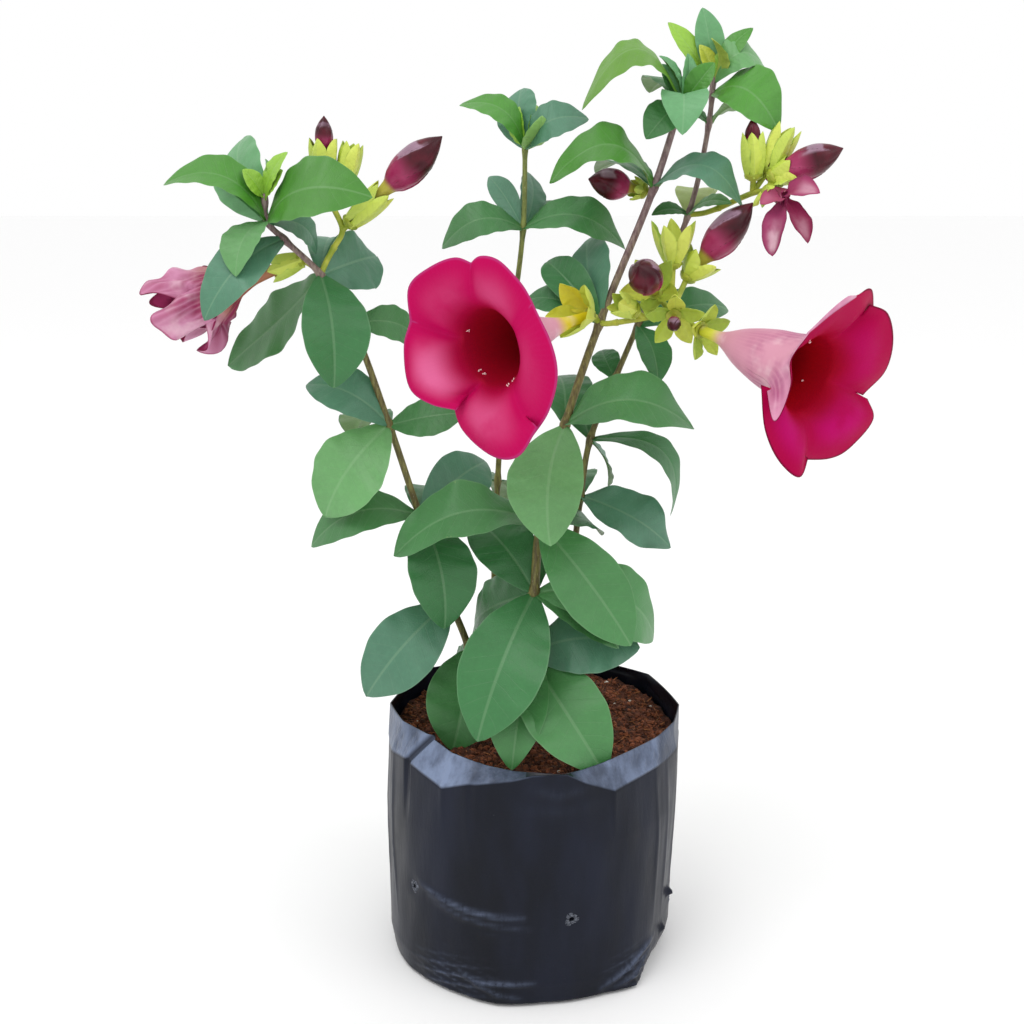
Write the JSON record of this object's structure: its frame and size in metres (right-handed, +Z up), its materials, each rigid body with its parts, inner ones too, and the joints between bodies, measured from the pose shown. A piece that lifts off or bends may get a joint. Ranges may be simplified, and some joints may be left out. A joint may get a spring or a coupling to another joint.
{
  "type": "potted allamanda",
  "caption": "Purple-flowered allamanda with whorled leaves, trumpet blooms and buds, growing in a black polythene nursery bag of potting mix.",
  "frame": {"origin": "centre of the bag's flat base", "axes": "+Z up, +X to the right as the plant is seen from its front, +Y towards the back"},
  "size_m": [0.3795, 0.1913, 0.5131],
  "materials": {
    "polythene": "satin black polythene film",
    "potting_mix": "moist coir crumbs",
    "leaf": "semi-gloss leaf",
    "calyx": "soft yellow-green",
    "petal": "velvety magenta",
    "faded_petal": "limp faded pink",
    "bud": "waxy maroon"
  },
  "bodies": {
    "root": {"grow_bag": "polythene", "potting_mix": "potting_mix", "leafy_stem_main": "leaf", "leafy_stem_left": "leaf", "leafy_stem_middle": "leaf", "leafy_stem_back": "leaf", "calyx_front_bloom": "calyx", "calyx_wilted_bloom": "calyx", "calyces_right": "calyx", "calyces_upper_left": "calyx", "calyces_upper_right": "calyx", "calyx_back_bud": "calyx", "bloom_front": "petal", "bloom_right": "petal", "bloom_wilted": "faded_petal", "bloom_fading": "faded_petal", "bud_left_long": "bud", "bud_left_small": "bud", "bud_right_long": "bud", "bud_right_end_on": "bud", "bud_right_small": "bud", "bud_top_long": "bud", "bud_top_small": "bud", "bud_behind_stem": "bud"}
  },
  "joints": []
}
